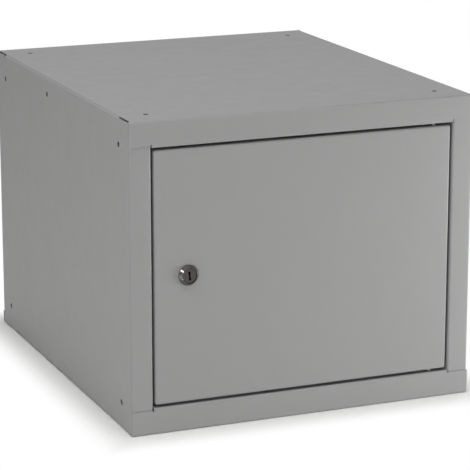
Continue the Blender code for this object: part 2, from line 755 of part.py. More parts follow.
def lock_nut(parent):
    """Makes the hexagon nut that holds the lock in the door's skin."""
    start = SKIN_BACK + LOCK_WASHER_THICKNESS + 2 * SEAM
    centre = Vector((LOCK_X, start, LOCK_HEIGHT))
    bm = bmesh.new()
    add_prism(bm, hexagon(centre, LOCK_NUT_ACROSS_FLATS), (0, LOCK_NUT_THICKNESS, 0))
    bmesh.ops.recalc_face_normals(bm, faces=bm.faces)
    obj = add_object("lock_nut", bm, ZINC, parent)
    hole = bmesh.new()
    middle = centre + Vector((0, LOCK_NUT_THICKNESS / 2, 0))
    add_drill(hole, middle, (0, 1, 0), LOCK_BARREL_RADIUS + SEAM, LOCK_NUT_THICKNESS)
    cut(obj, hole)
    return obj


def square(centre, across_flats):
    """Returns a square's corners about the Y axis, with its sides upright and level."""
    return ring_points(centre, (0, 1, 0), across_flats / math.sqrt(2), 4, 0.5)


def lock_plug(parent):
    """Makes the plug that the key turns: a rimmed face with the keyway, a round body and a square tail."""
    face = PLUG_RECESS - SEAM - LOCK_HEAD_THICKNESS
    rim_back = face + PLUG_RIM_THICKNESS
    end = CAM_BACK - DOOR_FRONT
    round_end = CAM_FRONT - SEAM - DOOR_FRONT
    outline = [
        (0, face),
        (PLUG_RIM_RADIUS - PLUG_FACE_CHAMFER, face),
        (PLUG_RIM_RADIUS, face + PLUG_FACE_CHAMFER),
        (PLUG_RIM_RADIUS, rim_back),
        (PLUG_RADIUS, rim_back),
        (PLUG_RADIUS, round_end),
        (0, round_end),
    ]
    obj = turned("lock_plug", outline, CHROME, parent, (LOCK_X, DOOR_FRONT, LOCK_HEIGHT), "Y")
    tail = bmesh.new()
    tail_start = Vector((LOCK_X, DOOR_FRONT + round_end - CUT_OVERRUN, LOCK_HEIGHT))
    add_prism(tail, square(tail_start, PLUG_TAIL_ACROSS_FLATS), (0, end - round_end + CUT_OVERRUN, 0))
    cut(obj, tail, operation="UNION")
    cutters = bmesh.new()
    slot_start = DOOR_FRONT + face - CUT_OVERRUN
    half_width, half_height = KEYWAY_WIDTH / 2, KEYWAY_HEIGHT / 2
    low, high = (-half_width, half_width), (half_width, -half_width)
    slot = [(x, -half_height) for x in low] + [(x, half_height) for x in high]
    outline = [Vector((LOCK_X + x, slot_start, LOCK_HEIGHT + z)) for x, z in slot]
    add_prism(cutters, outline, (0, KEYWAY_DEPTH + CUT_OVERRUN, 0))
    tapped = Vector((LOCK_X, DOOR_FRONT + end - CAM_SCREW_LENGTH, LOCK_HEIGHT))
    ring = ring_points(tapped, (0, 1, 0), CAM_SCREW_RADIUS + SEAM, HOLE_SEGMENTS)
    add_prism(cutters, ring, (0, CAM_SCREW_LENGTH + CUT_OVERRUN, 0))
    cut(obj, cutters)
    return obj


def lock_cam(parent):
    """Makes the cam: a tapering tongue from a round hub, hanging down when unlocked."""
    reach = CAM_LENGTH - CAM_TIP_RADIUS
    lean = math.asin((CAM_HUB_RADIUS - CAM_TIP_RADIUS) / reach)
    outline = []
    hub = (CAM_HUB_RADIUS, 0, lean, math.pi - lean)
    tip = (CAM_TIP_RADIUS, reach, math.pi - lean, 2 * math.pi + lean)
    for radius, drop, first, last in (hub, tip):
        for step in range(CAM_END_SEGMENTS + 1):
            angle = first + (last - first) * step / CAM_END_SEGMENTS
            x, z = radius * math.cos(angle), radius * math.sin(angle) - drop
            outline.append(Vector((LOCK_X + x, CAM_FRONT, LOCK_HEIGHT + z)))
    bm = bmesh.new()
    add_prism(bm, outline, (0, CAM_THICKNESS, 0))
    bmesh.ops.recalc_face_normals(bm, faces=bm.faces)
    obj = add_object("lock_cam", bm, ZINC, parent)
    hole = bmesh.new()
    centre = (LOCK_X, CAM_FRONT - CUT_OVERRUN, LOCK_HEIGHT)
    across = PLUG_TAIL_ACROSS_FLATS + 2 * SEAM
    add_prism(hole, square(centre, across), (0, CAM_THICKNESS + 2 * CUT_OVERRUN, 0))
    cut(obj, hole)
    return obj


def cam_washer(parent):
    """Makes the washer that clamps the cam to the plug's tail."""
    start = CAM_BACK + SEAM - DOOR_FRONT
    bore = CAM_SCREW_RADIUS + SEAM
    outline = [
        (bore, start),
        (CAM_WASHER_RADIUS, start),
        (CAM_WASHER_RADIUS, start + CAM_WASHER_THICKNESS),
        (bore, start + CAM_WASHER_THICKNESS),
    ]
    return turned("cam_washer", outline, ZINC, parent, (LOCK_X, DOOR_FRONT, LOCK_HEIGHT), "Y")


def cam_screw(parent):
    """Makes the hexagon screw that holds the cam on the plug."""
    seat = CAM_BACK + CAM_WASHER_THICKNESS + 2 * SEAM
    centre = Vector((LOCK_X, seat, LOCK_HEIGHT))
    start = Vector((LOCK_X, CAM_BACK - CAM_SCREW_LENGTH + SEAM, LOCK_HEIGHT))
    bm = bmesh.new()
    shank = ring_points(start, (0, 1, 0), CAM_SCREW_RADIUS, HOLE_SEGMENTS)
    add_prism(bm, shank, (0, seat - start.y + CAM_SCREW_HEAD_THICKNESS / 2, 0))
    bmesh.ops.recalc_face_normals(bm, faces=bm.faces)
    obj = add_object("cam_screw", bm, ZINC, parent)
    head = bmesh.new()
    add_prism(head, hexagon(centre, CAM_SCREW_HEAD_ACROSS_FLATS), (0, CAM_SCREW_HEAD_THICKNESS, 0))
    cut(obj, head, operation="UNION")
    return obj


def cabinet():
    """Makes the fixed case and what is fastened to it."""
    tray("top_tray", HEIGHT, -1)
    tray("bottom_tray", 0, 1)
    side_panel("left_side_panel", -1)
    side_panel("right_side_panel", 1)
    back_panel()
    upper_hinge_pin()
    lower_hinge_pin()
    for name, height in zip(("lower_stop_buffer", "upper_stop_buffer"), buffer_heights()):
        stop_buffer(name, height)


def door():
    """Makes the door and the lock's fixed pieces, which turn about the hinge pins."""
    hinge = pivot("door_hinge_axis", (HINGE_X, HINGE_Y, DOOR_BOTTOM))
    door_pan(hinge)
    door_stiffener(hinge)
    for word, flange, inwards in (("upper", DOOR_TOP, -1), ("lower", DOOR_BOTTOM, 1)):
        pivot_plate(word + "_pivot_plate", hinge, flange, inwards)
        hinge_bush(word + "_hinge_bush", hinge, flange, inwards)
    lock_body(hinge)
    lock_washer(hinge)
    lock_nut(hinge)


def lock_mechanism():
    """Makes the pieces that turn with the key."""
    axis = pivot("lock_axis", (LOCK_X, DOOR_FRONT, LOCK_HEIGHT))
    lock_plug(axis)
    lock_cam(axis)
    cam_washer(axis)
    cam_screw(axis)


clear_scene()
cabinet()
door()
lock_mechanism()
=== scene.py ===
"""Cube locker: the finishes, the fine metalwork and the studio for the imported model.

Metres, +Z up, the front with the door facing -Y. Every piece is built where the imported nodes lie.
"""

import logging
import math
from collections.abc import Callable, Iterable, Sequence
from dataclasses import dataclass, field
from enum import Enum
from typing import Any

import bmesh
import bpy
from mathutils import Matrix, Vector

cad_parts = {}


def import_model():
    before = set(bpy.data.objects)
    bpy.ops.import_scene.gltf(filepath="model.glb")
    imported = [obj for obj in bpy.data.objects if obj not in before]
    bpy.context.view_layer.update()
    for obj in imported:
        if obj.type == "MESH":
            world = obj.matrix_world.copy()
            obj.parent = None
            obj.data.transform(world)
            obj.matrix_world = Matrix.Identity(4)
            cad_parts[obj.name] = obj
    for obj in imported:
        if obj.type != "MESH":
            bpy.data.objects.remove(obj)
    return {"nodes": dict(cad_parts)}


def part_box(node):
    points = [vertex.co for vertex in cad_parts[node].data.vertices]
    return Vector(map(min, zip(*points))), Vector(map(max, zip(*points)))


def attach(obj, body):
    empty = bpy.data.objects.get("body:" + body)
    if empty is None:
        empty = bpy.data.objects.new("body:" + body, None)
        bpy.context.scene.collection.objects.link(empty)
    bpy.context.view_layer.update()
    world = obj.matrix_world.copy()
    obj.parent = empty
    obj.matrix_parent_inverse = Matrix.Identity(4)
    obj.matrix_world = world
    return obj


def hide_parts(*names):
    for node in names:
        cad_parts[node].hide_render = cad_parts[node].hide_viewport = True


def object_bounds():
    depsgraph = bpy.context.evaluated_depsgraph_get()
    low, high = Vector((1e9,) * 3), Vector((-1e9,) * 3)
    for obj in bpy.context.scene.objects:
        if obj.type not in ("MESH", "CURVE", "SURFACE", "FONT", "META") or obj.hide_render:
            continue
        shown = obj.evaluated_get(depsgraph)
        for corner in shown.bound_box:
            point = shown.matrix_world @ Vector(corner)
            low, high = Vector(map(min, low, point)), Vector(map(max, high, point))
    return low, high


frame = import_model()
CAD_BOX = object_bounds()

LOG = logging.getLogger("cube_locker")
MM = 0.001
# Points closer together than this are one point.
WELD_DISTANCE = 0.001 * MM
# How far a cutting tool reaches past the surface that it cuts.
CUT_MARGIN = 1.0 * MM
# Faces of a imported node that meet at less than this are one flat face.
FLAT_DEGREES = 1.0
# Edges at which faces meet at more than this are rounded.
SHARP_DEGREES = 50.0
# Faces that meet at less than this are shaded as one surface.
SMOOTH_DEGREES = 40.0
ROUND_SEGMENTS = 3
TURNED_STEPS = 96
# Turns +Z, which turned pieces are made round, to +Y, which points from the front to the back.
FRONT_TO_BACK = Matrix.Rotation(-math.pi / 2, 4, "X")
NOISE_DETAIL = 2.0
# The span in which nearly all of a noise pattern's values lie.
NOISE_SPAN = (0.3, 0.7)
Span = tuple[float, float]
Outline = Sequence[tuple[float, float]]
EdgeTest = Callable[[bmesh.types.BMEdge], bool]


class Body(Enum):
    """The bodies that pieces ride on."""

    CABINET = "cabinet"
    DOOR = "door"
    LOCK_CYLINDER = "lock_cylinder"


class Slot(Enum):
    """The record's material slots."""

    PAINTED_STEEL = "painted_steel"
    CHROME_PLATE = "chrome_plate"
    ZINC_PLATE = "zinc_plate"
    NYLON = "nylon"
    RUBBER = "rubber"


class Join(Enum):
    """The ways in which one closed shape works on another."""

    CUT = "DIFFERENCE"
    OVERLAP = "INTERSECT"
    ADD = "UNION"


def linear(hex_colour: str) -> tuple[float, float, float, float]:
    """Turns an sRGB hex colour into the linear colour that a shader takes.

    Args:
        hex_colour: Six hex digits, with or without a leading #.

    Returns:
        Red, green, blue and an alpha of 1.
    """
    digits = hex_colour.lstrip("#")
    shares = [int(digits[i:i + 2], 16) / 255 for i in (0, 2, 4)]
    # The sRGB standard's own numbers: a straight foot, and a power curve above it.
    red, green, blue = (
        share / 12.92 if share <= 0.04045 else ((share + 0.055) / 1.055) ** 2.4 for share in shares
    )
    return red, green, blue, 1.0


def add_node(
    tree: bpy.types.NodeTree,
    kind: str,
    settings: dict[str, Any] | None = None,
    values: dict[str | int, Any] | None = None,
    links: dict[str | int, bpy.types.NodeSocket] | None = None,
) -> bpy.types.Node:
    """Adds a node with its settings, its socket values and its links.

    Args:
        tree: The node tree that takes the node.
        kind: The node's class name.
        settings: Properties of the node itself.
        values: Values of its input sockets, by name or number.
        links: Output sockets that feed its input sockets, by name or number.

    Returns:
        The new node.
    """
    node = tree.nodes.new(kind)
    for name, value in (settings or {}).items():
        setattr(node, name, value)
    for socket, value in (values or {}).items():
        node.inputs[socket].default_value = value
    for socket, source in (links or {}).items():
        tree.links.new(source, node.inputs[socket])
    return node


def noise(
    tree: bpy.types.NodeTree,
    spacing: float,
    detail: float = NOISE_DETAIL,
    stretch: Sequence[float] = (1, 1, 1),
) -> bpy.types.NodeSocket:
    """Lays a noise pattern on a piece's own coordinates.

    Args:
        tree: The node tree that takes the pattern.
        spacing: The real distance between the pattern's features, in metres.
        detail: How many finer layers it has.
        stretch: How much finer it is along each axis.

    Returns:
        The socket of its value.
    """
    place = add_node(tree, "ShaderNodeTexCoord")
    scaled_place = add_node(
        tree,
        "ShaderNodeMapping",
        values={"Scale": stretch},
        links={"Vector": place.outputs["Object"]},
    )
    pattern = add_node(
        tree,
        "ShaderNodeTexNoise",
        values={"Scale": 1 / spacing, "Detail": detail},
        links={"Vector": scaled_place.outputs["Vector"]},
    )
    return pattern.outputs["Fac"]


def uneven(
    tree: bpy.types.NodeTree, spacing: float, low: float, high: float
) -> bpy.types.NodeSocket:
    """Lays a value that wanders over a piece.

    Args:
        tree: The node tree that takes the pattern.
        spacing: The real distance between the pattern's features, in metres.
        low: The least value.
        high: The greatest value.

    Returns:
        The socket of the value.
    """
    least, most = NOISE_SPAN
    node = add_node(
        tree,
        "ShaderNodeMapRange",
        values={"From Min": least, "From Max": most, "To Min": low, "To Max": high},
        links={"Value": noise(tree, spacing)},
    )
    return node.outputs["Result"]


def raised(
    tree: bpy.types.NodeTree,
    pattern: bpy.types.NodeSocket,
    depth: float,
    shader: bpy.types.Node,
) -> None:
    """Raises a shader's surface by a pattern, over what raises it already.

    Args:
        tree: The material's node tree.
        pattern: The socket of the pattern, from 0 to 1.
        depth: The pattern's real depth, in metres.
        shader: The shader.
    """
    normal = shader.inputs["Normal"]
    links = {"Height": pattern}
    if normal.is_linked:
        links["Normal"] = normal.links[0].from_socket
    node = add_node(tree, "ShaderNodeBump", values={"Distance": depth}, links=links)
    tree.links.new(node.outputs["Normal"], normal)


@dataclass(frozen=True)
class Finish:
    """A finish: the name of its material and the slot that it belongs to."""

    name: str
    slot: Slot

    def dress(self, tree: bpy.types.NodeTree, shader: bpy.types.Node) -> None:
        """Sets the shader of this finish and the patterns that feed it."""
        raise NotImplementedError

    def material(self) -> bpy.types.Material:
        """Makes this finish's material, the first time that it is asked for.

        Returns:
            The material.
        """
        made = bpy.data.materials.get(self.name)
        if made:
            return made
        made = bpy.data.materials.new(self.name)
        made.use_nodes = True
        self.dress(made.node_tree, made.node_tree.nodes["Principled BSDF"])
        return made


@dataclass(frozen=True)
class PowderCoat(Finish):
    """Polyester powder coat baked on sheet steel.

    The eye gets a satin grey skin with the faint ripple of melted powder, slightly uneven in its
    gloss where it flowed thicker.
    """

    colour: str = "#989898"
    dark_colour: str = "#979797"
    ripple_spacing: float = 3.0 * MM
    ripple_depth: float = 0.012 * MM
    ripple_detail: float = 1.0
    # Real grains are under 0.1 mm; they are drawn at 0.7 mm so that they show as a faint tooth.
    grain_spacing: float = 0.7 * MM
    grain_depth: float = 0.002 * MM
    cloud_spacing: float = 70.0 * MM
    gloss_spacing: float = 23.0 * MM
    roughness_low: float = 0.36
    roughness_high: float = 0.42
    # The pigment breaks the skin, so it mirrors less than clear lacquer does.
    specular_level: float = 0.3

    def dress(self, tree: bpy.types.NodeTree, shader: bpy.types.Node) -> None:
        """Sets the colour clouds, the uneven gloss, the grain and the ripple over it.

        Args:
            tree: The material's node tree.
            shader: Its shader.
        """
        colour = add_node(
            tree,
            "ShaderNodeMix",
            {"data_type": "RGBA"},
            {"A": linear(self.dark_colour), "B": linear(self.colour)},
            {"Factor": uneven(tree, self.cloud_spacing, 0, 1)},
        )
        tree.links.new(colour.outputs["Result"], shader.inputs["Base Color"])
        shader.inputs["Specular IOR Level"].default_value = self.specular_level
        gloss = uneven(tree, self.gloss_spacing, self.roughness_low, self.roughness_high)
        tree.links.new(gloss, shader.inputs["Roughness"])
        raised(tree, noise(tree, self.grain_spacing), self.grain_depth, shader)
        ripple = noise(tree, self.ripple_spacing, self.ripple_detail)
        raised(tree, ripple, self.ripple_depth, shader)


@dataclass(frozen=True)
class PlatedMetal(Finish):
    """Plating on a metal piece: its colour, how bright it is and the marks of its making."""

    colour: str
    roughness_low: float
    roughness_high: float
    mark_spacing: float
    mark_depth: float
    mark_stretch: tuple[float, float, float] = (1, 1, 1)
    mark_detail: float = 3.0
    marks_per_blotch: float = 6.0

    def dress(self, tree: bpy.types.NodeTree, shader: bpy.types.Node) -> None:
        """Sets the metal, its blotchy gloss and the marks of its making.

        Args:
            tree: The material's node tree.
            shader: Its shader.
        """
        shader.inputs["Metallic"].default_value = 1.0
        shader.inputs["Base Color"].default_value = linear(self.colour)
        blotch_spacing = self.mark_spacing * self.marks_per_blotch
        gloss = uneven(tree, blotch_spacing, self.roughness_low, self.roughness_high)
        tree.links.new(gloss, shader.inputs["Roughness"])
        marks = noise(tree, self.mark_spacing, self.mark_detail, self.mark_stretch)
        raised(tree, marks, self.mark_depth, shader)


@dataclass(frozen=True)
class MouldedPlastic(Finish):
    """A moulded plastic or rubber piece, dull, with the fine tooth of its mould."""

    colour: str
    roughness: float
    tooth_spacing: float
    tooth_depth: float
    subsurface: float = 0.0
    # How far red, green and blue light pass into the plastic.
    light_reach: tuple[float, float, float] = (1.0 * MM, 0.9 * MM, 0.8 * MM)
    teeth_per_blotch: float = 8.0
    roughness_spread: float = 0.08

    def dress(self, tree: bpy.types.NodeTree, shader: bpy.types.Node) -> None:
        """Sets the colour, the light that passes into it, the dullness and the mould's tooth.

        Args:
            tree: The material's node tree.
            shader: Its shader.
        """
        shader.inputs["Base Color"].default_value = linear(self.colour)
        shader.inputs["Subsurface Weight"].default_value = self.subsurface
        shader.inputs["Subsurface Radius"].default_value = self.light_reach
        # The reach is in metres as it stands.
        shader.inputs["Subsurface Scale"].default_value = 1.0
        blotch_spacing = self.tooth_spacing * self.teeth_per_blotch
        dullest = self.roughness + self.roughness_spread
        gloss = uneven(tree, blotch_spacing, self.roughness, dullest)
        tree.links.new(gloss, shader.inputs["Roughness"])
        raised(tree, noise(tree, self.tooth_spacing), self.tooth_depth, shader)


# Satin powder coat: an even grey with soft, broad highlights along the bends.
POWDER_COAT = PowderCoat("grey_satin_powder_coat", Slot.PAINTED_STEEL)
# Polished nickel plate on die-cast zinc: a mirror with small sharp highlights, drawn dark; the dark
# colour is a painted dark reflection of a dim room.
NICKEL = PlatedMetal(
    "polished_nickel_painted_dark_reflection",
    Slot.CHROME_PLATE,
    colour="#7a7773",
    roughness_low=0.08,
    roughness_high=0.15,
    mark_spacing=0.8 * MM,
    mark_depth=0.001 * MM,
)
# Nickel plate on the plug's face, softer than the collar round it, in a darker copy of its colour:
# the darker colour is painted shade and painted dark reflection of the sunk face.
PLUG_NICKEL_PAINTED_SHADE = PlatedMetal(
    "plug_nickel_painted_shade",
    Slot.CHROME_PLATE,
    colour="#55524f",
    roughness_low=0.16,
    roughness_high=0.24,
    mark_spacing=0.6 * MM,
    mark_depth=0.002 * MM,
)
# Bright zinc plate on steel: bluish grey, a little milky, with the rolling marks of the strip.
ZINC = PlatedMetal(
    "bright_zinc_plate",
    Slot.ZINC_PLATE,
    colour="#b4b8bc",
    roughness_low=0.26,
    roughness_high=0.42,
    mark_spacing=0.6 * MM,
    mark_depth=0.002 * MM,
    mark_stretch=(1, 1, 6),
)
# Punched brass strip: warm yellow edges deep in the keyway, its colour darkened as painted shade of
# the deep keyway.
BRASS = PlatedMetal(
    "wafer_brass",
    Slot.CHROME_PLATE,
    colour="#8f7138",
    roughness_low=0.25,
    roughness_high=0.35,
    mark_spacing=0.4 * MM,
    mark_depth=0.001 * MM,
)
# Natural nylon: off-white and slightly waxy, since light passes a little way into it.
NYLON = MouldedPlastic(
    "natural_nylon",
    Slot.NYLON,
    colour="#dcdad2",
    roughness=0.42,
    tooth_spacing=0.5 * MM,
    tooth_depth=0.003 * MM,
    subsurface=0.25,
)
# Black rubber: dull and nearly without a highlight.
RUBBER = MouldedPlastic(
    "black_rubber",
    Slot.RUBBER,
    colour="#262626",
    roughness=0.72,
    tooth_spacing=0.4 * MM,
    tooth_depth=0.006 * MM,
)


def mesh_of(name: str, bm: bmesh.types.BMesh) -> bpy.types.Mesh:
    """Makes a mesh that objects can have.

    Args:
        name: The mesh's name.
        bm: Its shape, which is freed.

    Returns:
        The mesh.
    """
    mesh = bpy.data.meshes.new(name)
    bm.to_mesh(mesh)
    bm.free()
    return mesh


def placed(name: str, data: bpy.types.ID) -> bpy.types.Object:
    """Makes an object and puts it into the scene.

    Args:
        name: The object's name.
        data: Its mesh, lamp or camera.

    Returns:
        The object.
    """
    obj = bpy.data.objects.new(name, data)
    bpy.context.scene.collection.objects.link(obj)
    return obj


def turned(outline: Outline, centre: Vector) -> bmesh.types.BMesh:
    """Turns an outline once round an axis from the front to the back and closes it.

    Args:
        outline: Points of radius and distance along the axis. It makes a ring unless one of its
            ends is on the axis.
        centre: Where the axis and the zero of the distance are.

    Returns:
        The closed mesh, in place.
    """
    bm = bmesh.new()
    points = [bm.verts.new((radius, 0, along)) for radius, along in outline]
    edges = [bm.edges.new(pair) for pair in zip(points, points[1:])]
    if min(outline[0][0], outline[-1][0]) > 0:
        edges.append(bm.edges.new((points[-1], points[0])))
    bmesh.ops.spin(
        bm,
        geom=points + edges,
        cent=(0, 0, 0),
        axis=(0, 0, 1),
        angle=2 * math.pi,
        steps=TURNED_STEPS,
        use_merge=True,
    )
    bmesh.ops.remove_doubles(bm, verts=bm.verts, dist=WELD_DISTANCE)
    hubs = [vert for vert in bm.verts if vert.co.xy.length < WELD_DISTANCE]
    bmesh.ops.dissolve_verts(bm, verts=hubs)
    bmesh.ops.recalc_face_normals(bm, faces=bm.faces)
    bm.transform(Matrix.Translation(centre) @ FRONT_TO_BACK)
    return bm


def block(low: Vector, high: Vector) -> bmesh.types.BMesh:
    """Makes a box.

    Args:
        low: Its corner with the least coordinates.
        high: The corner across from it.

    Returns:
        The closed mesh, in place.
    """
    bm = bmesh.new()
    size = high - low
    place = Matrix.Translation((low + high) / 2) @ Matrix.Diagonal((*size, 1))
    bmesh.ops.create_cube(bm, size=1, matrix=place)
    return bm


def combined(bm: bmesh.types.BMesh, tool: bmesh.types.BMesh, how: Join) -> bmesh.types.BMesh:
    """Works one closed mesh on another with an exact Boolean.

    Args:
        bm: The mesh that is worked on.
        tool: The mesh that cuts it, trims it or joins it.
        how: What the tool does.

    Returns:
        The new mesh. The two given ones are freed.
    """
    worked = placed("worked", mesh_of("worked", bm))
    cutter = placed("tool", mesh_of("tool", tool))
    modifier = worked.modifiers.new("Work", "BOOLEAN")
    modifier.operation = how.value
    modifier.object = cutter
    shaped = worked.evaluated_get(bpy.context.evaluated_depsgraph_get()).to_mesh()
    result = bmesh.new()
    result.from_mesh(shaped)
    for obj in (worked, cutter):
        mesh = obj.data
        bpy.data.objects.remove(obj)
        bpy.data.meshes.remove(mesh)
    bmesh.ops.remove_doubles(result, verts=result.verts, dist=WELD_DISTANCE)
    return result


def soften(
    bm: bmesh.types.BMesh,
    radius: float,
    segments: int = ROUND_SEGMENTS,
    where: EdgeTest = lambda edge: True,
) -> None:
    """Rounds the sharp edges of a mesh.

    Args:
        bm: The mesh.
        radius: How far from each edge the rounding starts.
        segments: How many faces the rounding has.
        where: Picks the edges that are rounded.
    """
    bm.normal_update()
    least = math.radians(SHARP_DEGREES)
    sharp = [edge for edge in bm.edges if edge.calc_face_angle(0) > least and where(edge)]
    bmesh.ops.bevel(
        bm,
        geom=sharp,
        offset=radius,
        offset_type="OFFSET",
        segments=segments,
        profile=0.5,
        affect="EDGES",
        clamp_overlap=True,
        material=-1,
    )


def before(y: float) -> EdgeTest:
    """Returns a test of whether an edge lies in front of y."""
    return lambda edge: all(vert.co.y < y for vert in edge.verts)


def node_copy(node: str) -> bmesh.types.BMesh:
    """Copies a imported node's mesh, merged and with its flat faces in one piece each.

    Args:
        node: The node's name.

    Returns:
        The copy, in place.
    """
    bm = bmesh.new()
    bm.from_mesh(frame["nodes"][node].data)
    bmesh.ops.remove_doubles(bm, verts=bm.verts, dist=WELD_DISTANCE)
    flat = math.radians(FLAT_DEGREES)
    bmesh.ops.dissolve_limit(bm, angle_limit=flat, verts=bm.verts, edges=bm.edges)
    return bm


def finished(
    name: str,
    bm: bmesh.types.BMesh,
    finish: Finish,
    body: Body,
    stands_for: Iterable[str] = (),
    smooth_degrees: float = SMOOTH_DEGREES,
) -> None:
    """Makes a mesh a finished piece: shaded, in its material, riding on its body.

    Args:
        name: The piece's name.
        bm: Its mesh, in place. It is freed.
        finish: Its finish.
        body: The body that it moves with.
        stands_for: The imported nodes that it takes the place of.
        smooth_degrees: The widest angle between faces that is shaded smooth.
    """
    mesh = mesh_of(name, bm)
    if "custom_normal" in mesh.attributes:
        mesh.attributes.remove(mesh.attributes["custom_normal"])
    mesh.shade_smooth()
    mesh.set_sharp_from_angle(angle=math.radians(smooth_degrees))
    mesh.materials.clear()
    mesh.materials.append(finish.material())
    piece = placed(name, mesh)
    normals = piece.modifiers.new("Flat faces stay flat", "WEIGHTED_NORMAL")
    normals.keep_sharp = True
    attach(piece, body.value)
    nodes = list(stands_for)
    if nodes:
        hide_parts(*nodes)
    LOG.info("%s: %d faces, %s, on %s", name, len(mesh.polygons), finish.name, body.value)


def rounded_node(
    node: str,
    ending: str,
    finish: Finish,
    body: Body,
    radius: float,
    segments: int = ROUND_SEGMENTS,
) -> None:
    """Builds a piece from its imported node, with its sharp edges rounded.

    Args:
        node: The node's name, which starts the piece's.
        ending: What ends the piece's name.
        finish: The piece's finish.
        body: The body that it moves with.
        radius: How far from each edge the rounding starts.
        segments: How many faces the rounding has.
    """
    bm = node_copy(node)
    soften(bm, radius, segments)
    finished(f"{node}_{ending}", bm, finish, body, [node])


@dataclass
class SheetMetal:
    """The folded sheet parts, their cut edges rounded and their bends shaded smooth."""

    case_nodes: tuple[str, ...] = (
        "top_tray",
        "bottom_tray",
        "left_side_panel",
        "right_side_panel",
        "back_panel",
    )
    door_nodes: tuple[str, ...] = ("door_pan", "door_stiffener")
    cut_edge_round: float = 0.3 * MM

    def build(self) -> None:
        """Builds every sheet part of the case and of the door."""
        for body, nodes in ((Body.CABINET, self.case_nodes), (Body.DOOR, self.door_nodes)):
            for node in nodes:
                rounded_node(node, "coated", POWDER_COAT, body, self.cut_edge_round)


@dataclass
class SeamBeads:
    """The coating that bridges the seams between the top's side edges and the folds under them.

    The section's points are how far out from the case's middle and how far down from its top.
    """

    section: Outline = (
        (202.52 * MM, 0.3 * MM),
        (202.52 * MM, 1.26 * MM),
        (203.6 * MM, 1.53 * MM),
    )
    front: float = -203.5 * MM
    length: float = 411.0 * MM

    def build(self) -> None:
        """Builds the two beads, which run from the front to the back, as one piece."""
        bm = bmesh.new()
        top = CAD_BOX[1].z
        for side in (-1, 1):
            corners = [(side * out, self.front, top - down) for out, down in self.section]
            face = bm.faces.new([bm.verts.new(corner) for corner in corners])
            drawn = bmesh.ops.extrude_face_region(bm, geom=[face], use_keep_orig=True)
            far = [item for item in drawn["geom"] if isinstance(item, bmesh.types.BMVert)]
            bmesh.ops.translate(bm, vec=(0, self.length, 0), verts=far)
        bmesh.ops.recalc_face_normals(bm, faces=bm.faces)
        finished("seam_beads", bm, POWDER_COAT, Body.CABINET)


